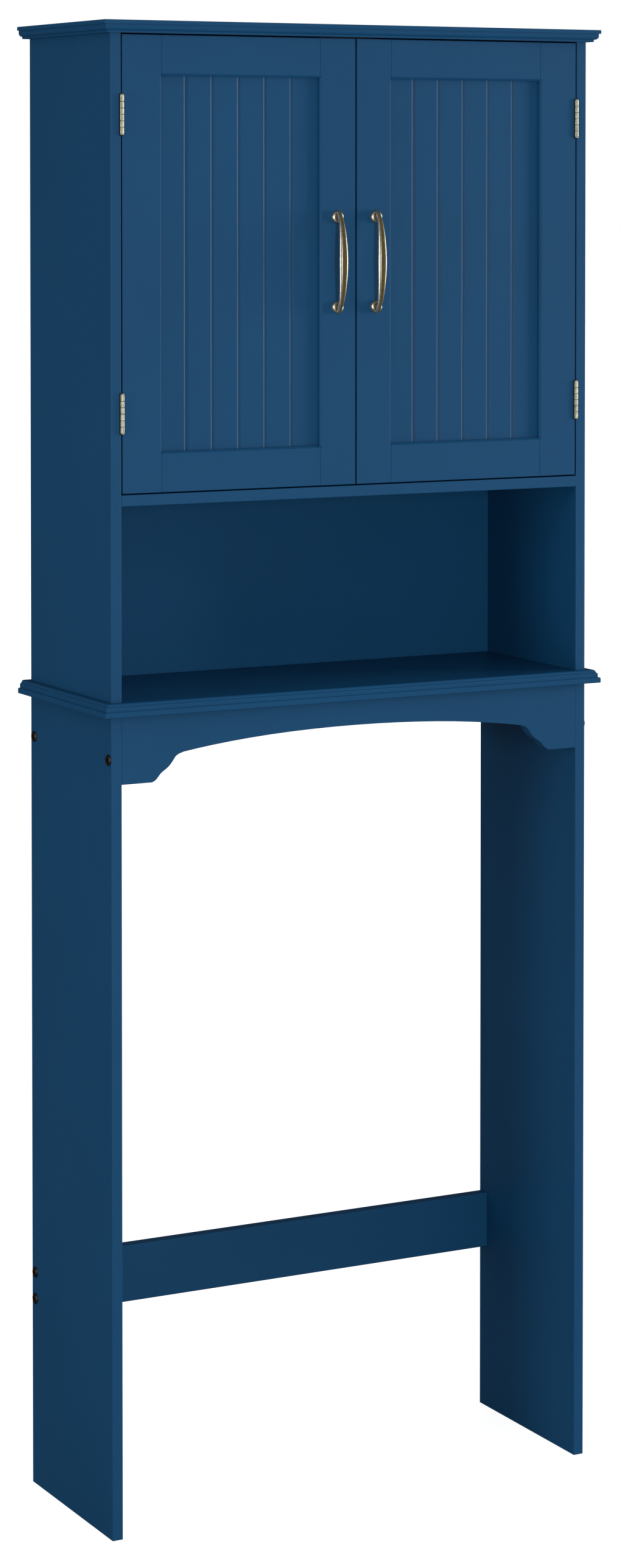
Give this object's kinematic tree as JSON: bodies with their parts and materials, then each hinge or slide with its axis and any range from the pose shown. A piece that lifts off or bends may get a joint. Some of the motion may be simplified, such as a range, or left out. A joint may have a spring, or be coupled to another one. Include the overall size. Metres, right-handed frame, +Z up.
{
  "type": "over the toilet storage rack",
  "caption": "Free-standing bathroom rack that straddles a toilet: cupboard with beadboard doors and open compartment over a moulded shelf, on tall leg panels with an arched apron.",
  "frame": {"origin": "middle of the bottom of the whole rack, on the floor, handles included", "axes": "+X to the rack's right seen from the front, +Y to the wall, +Z up"},
  "size_m": [0.6466, 0.2466, 1.6982],
  "materials": {
    "painted_board": "satin blue paint on board",
    "moulded_board": "semi-gloss blue paint on board",
    "back_board": "satin blue paint on thin board",
    "hinge_brass": "satin, slightly aged",
    "antique_brass": "antique, rubbed bright at the edges",
    "bronze_bolt": "dark bronze",
    "zinc_steel": "zinc plated",
    "cast_zinc": "die cast zinc",
    "beech": "bare beech",
    "catch_plastic": "moulded brown",
    "magnet": "ferrite"
  },
  "bodies": {
    "carcass": {"adjustable_shelf": "painted_board", "apron": "painted_board", "back_panel": "back_board", "barrel_nuts": "zinc_steel", "cabinet_floor": "painted_board", "cam_bolts": "zinc_steel", "cam_nuts": "cast_zinc", "catch_housing": "catch_plastic", "catch_magnets": "magnet", "catch_screws": "zinc_steel", "dowels": "beech", "hinge_frame_screws": "hinge_brass", "hinge_left_lower_frame_leaf": "hinge_brass", "hinge_left_lower_pin": "hinge_brass", "hinge_left_upper_frame_leaf": "hinge_brass", "hinge_left_upper_pin": "hinge_brass", "hinge_right_lower_frame_leaf": "hinge_brass", "hinge_right_lower_pin": "hinge_brass", "hinge_right_upper_frame_leaf": "hinge_brass", "hinge_right_upper_pin": "hinge_brass", "leg_bolts": "bronze_bolt", "leg_panel_left": "painted_board", "leg_panel_right": "painted_board", "mid_shelf": "moulded_board", "rear_rail": "painted_board", "shelf_pins": "zinc_steel", "shelf_screws": "zinc_steel", "stretcher": "painted_board", "top_panel": "moulded_board", "upper_side_left": "painted_board", "upper_side_right": "painted_board"},
    "door_left": {"door_left_bottom_rail": "painted_board", "door_left_hinge_stile": "painted_board", "door_left_meeting_stile": "painted_board", "door_left_panel": "painted_board", "door_left_top_rail": "painted_board", "handle_left": "antique_brass", "handle_screws_left": "zinc_steel", "hinge_door_screws_left": "hinge_brass", "hinge_left_lower_door_leaf": "hinge_brass", "hinge_left_upper_door_leaf": "hinge_brass", "strike_plate_left": "zinc_steel", "strike_screw_left": "zinc_steel"},
    "door_right": {"door_right_bottom_rail": "painted_board", "door_right_hinge_stile": "painted_board", "door_right_meeting_stile": "painted_board", "door_right_panel": "painted_board", "door_right_top_rail": "painted_board", "handle_right": "antique_brass", "handle_screws_right": "zinc_steel", "hinge_door_screws_right": "hinge_brass", "hinge_right_lower_door_leaf": "hinge_brass", "hinge_right_upper_door_leaf": "hinge_brass", "strike_plate_right": "zinc_steel", "strike_screw_right": "zinc_steel"}
  },
  "joints": [
    {"name": "door_left_swing", "type": "hinge", "parent": "carcass", "child": "door_left", "pos_m": [-0.296, -0.10455, 1.42775], "axis": [0, 0, -1], "range_deg": [0, 170]},
    {"name": "door_right_swing", "type": "hinge", "parent": "carcass", "child": "door_right", "pos_m": [0.296, -0.10455, 1.42775], "axis": [0, 0, 1], "range_deg": [0, 170]}
  ]
}
